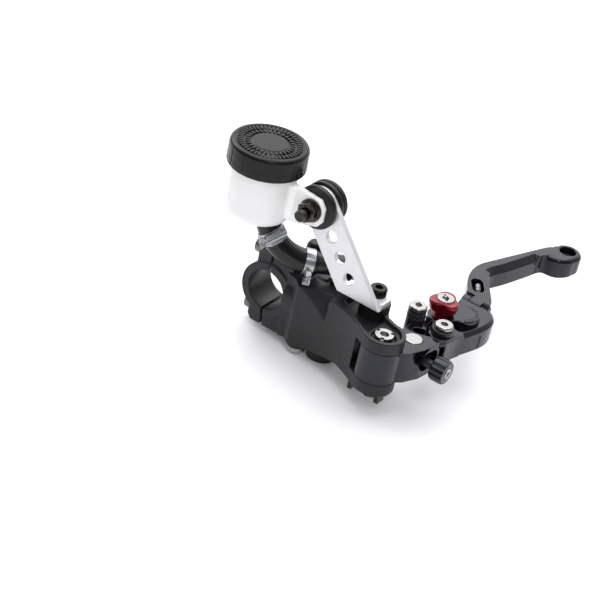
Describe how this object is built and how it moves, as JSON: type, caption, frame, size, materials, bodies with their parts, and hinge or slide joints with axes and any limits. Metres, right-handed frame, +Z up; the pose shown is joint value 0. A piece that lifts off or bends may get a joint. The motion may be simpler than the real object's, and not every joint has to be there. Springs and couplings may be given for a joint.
{
  "type": "radial brake master cylinder",
  "caption": "Radial front-brake master cylinder for a motorcycle handlebar, with a folding reach-adjustable lever and a remote fluid reservoir on a bracket.",
  "frame": {"origin": "centre of the handlebar clamp bore, halfway along the clamp", "axes": "+X inboard along the handlebar (the lever tip points to -X), +Y forward from the handlebar to the lever pivot, +Z up, parallel to the lever pivot"},
  "size_m": [0.196, 0.1384, 0.1136],
  "materials": {
    "black_anodised_body": "satin black hard-anodised aluminium",
    "black_anodised_clamp": "satin black hard-anodised aluminium",
    "black_gloss_lever": "glossy black anodised aluminium, sharp machined edges",
    "raw_bracket": "bead-blasted clear-anodised aluminium",
    "red_knob": "glossy red anodised aluminium",
    "bright_steel": "polished stainless steel",
    "clip_steel": "zinc-plated spring steel",
    "dark_steel": "black zinc steel with a brown tint",
    "titanium_bolt": "grey-brown plated steel",
    "black_steel": "black oxide steel",
    "pot_plastic": "translucent white moulded plastic",
    "cap_plastic": "black moulded plastic",
    "black_rubber": "black rubber",
    "hose_rubber": "smooth black rubber hose",
    "bronze": "sintered bronze",
    "hard_anodised_piston": "hard-anodised aluminium",
    "black_plastic": "black moulded plastic"
  },
  "bodies": {
    "housing": {"cylinder_body": "black_anodised_body", "bar_clamp": "black_anodised_clamp", "clamp_bolts": "titanium_bolt", "clamp_washers": "clip_steel", "body_plug": "bright_steel", "bleed_screw": "clip_steel", "bleed_cap": "black_rubber", "bracket_standoff": "black_plastic", "bracket_screw": "dark_steel", "bracket_washer": "raw_bracket", "reservoir_bracket": "raw_bracket", "reservoir_bolt": "dark_steel", "reservoir_nut": "dark_steel", "reservoir_grommets": "black_rubber", "grommet_sleeve": "clip_steel", "reservoir": "pot_plastic", "reservoir_hose": "hose_rubber", "upper_hose_clamp": "clip_steel", "lower_hose_clamp": "clip_steel", "inlet_elbow": "black_plastic", "inlet_seal": "black_rubber", "inlet_clip": "clip_steel", "pivot_bolt": "bright_steel", "pivot_nut": "dark_steel", "pivot_lock_plate": "dark_steel", "bore_circlip": "clip_steel", "stop_washer": "clip_steel", "return_spring": "clip_steel", "dust_boot": "black_rubber"},
    "cap_lift": {"diaphragm_plate": "black_plastic", "reservoir_diaphragm": "black_rubber"},
    "cap": {"reservoir_cap": "cap_plastic"},
    "piston": {"piston": "hard_anodised_piston", "primary_cup": "black_rubber", "secondary_cup": "black_rubber", "spring_seat": "clip_steel"},
    "lever_base": {"lever_base": "black_gloss_lever", "pivot_bush": "bronze", "stop_barrel": "black_steel", "stop_screw": "bright_steel"},
    "trunnion": {"trunnion": "bright_steel", "trunnion_clip": "clip_steel"},
    "pushrod": {"pushrod": "black_steel", "adjuster_knob": "black_gloss_lever", "knob_screw": "bright_steel"},
    "blade": {"lever_blade": "black_gloss_lever", "index_plate": "black_gloss_lever", "blade_screw": "bright_steel", "blade_washer": "black_steel", "fold_pin": "clip_steel"},
    "reach_knob": {"reach_knob": "red_knob", "reach_screw": "bright_steel"},
    "lever_tip": {"lever_tip": "black_gloss_lever", "fold_spring": "clip_steel"}
  },
  "joints": [
    {"name": "lever_pull", "type": "hinge", "parent": "housing", "child": "lever_base", "pos_m": [0.017, 0.077, 0.002], "axis": [0, 0, 1], "range_deg": [0, 15], "stiffness_Nm_per_rad": 0.6, "springref_deg": -11.46},
    {"name": "piston_slide", "type": "slide", "parent": "housing", "child": "piston", "axis": [0, 1, 0], "range_m": [-0.0047, 0], "deforming": ["return_spring"]},
    {"name": "trunnion_turn", "type": "hinge", "parent": "lever_base", "child": "trunnion", "pos_m": [0, 0.085, 0.002], "axis": [0, 0, 1], "range_deg": [-12, 0]},
    {"name": "pushrod_spin", "type": "hinge", "parent": "trunnion", "child": "pushrod", "pos_m": [0, 0.085, 0.002], "axis": [0, 1, 0], "continuous": true},
    {"name": "reach_knob_turn", "type": "hinge", "parent": "blade", "child": "reach_knob", "pos_m": [-0.0323, 0.0818, 0.002], "axis": [0, 0, 1], "range_deg": [0, 150]},
    {"name": "blade_reach", "type": "hinge", "parent": "lever_base", "child": "blade", "pos_m": [-0.0176, 0.0915, 0.002], "axis": [0, 0, 1], "range_deg": [0, 5.2]},
    {"name": "tip_fold", "type": "hinge", "parent": "blade", "child": "lever_tip", "pos_m": [-0.061, 0.0865, 0.0056], "axis": [0, 1, 0], "range_deg": [0, 90], "stiffness_Nm_per_rad": 0.05, "springref_deg": -17.19},
    {"name": "cap_turn", "type": "hinge", "parent": "cap_lift", "child": "cap", "pos_m": [0.0172, -0.0095, 0.08], "axis": [0, 0, 1], "range_deg": [0, 540]},
    {"name": "cap_lift", "type": "slide", "parent": "housing", "child": "cap_lift", "axis": [0, 0, 1], "range_m": [0, 0.0046]}
  ],
  "couplings": [
    {"joint": "piston_slide", "follows": "lever_pull", "m_per_rad": -0.01765},
    {"joint": "trunnion_turn", "follows": "lever_pull", "ratio": -0.763},
    {"joint": "blade_reach", "follows": "reach_knob_turn", "ratio": 0.0333},
    {"joint": "cap_lift", "follows": "cap_turn", "m_per_rad": 0.000477}
  ]
}
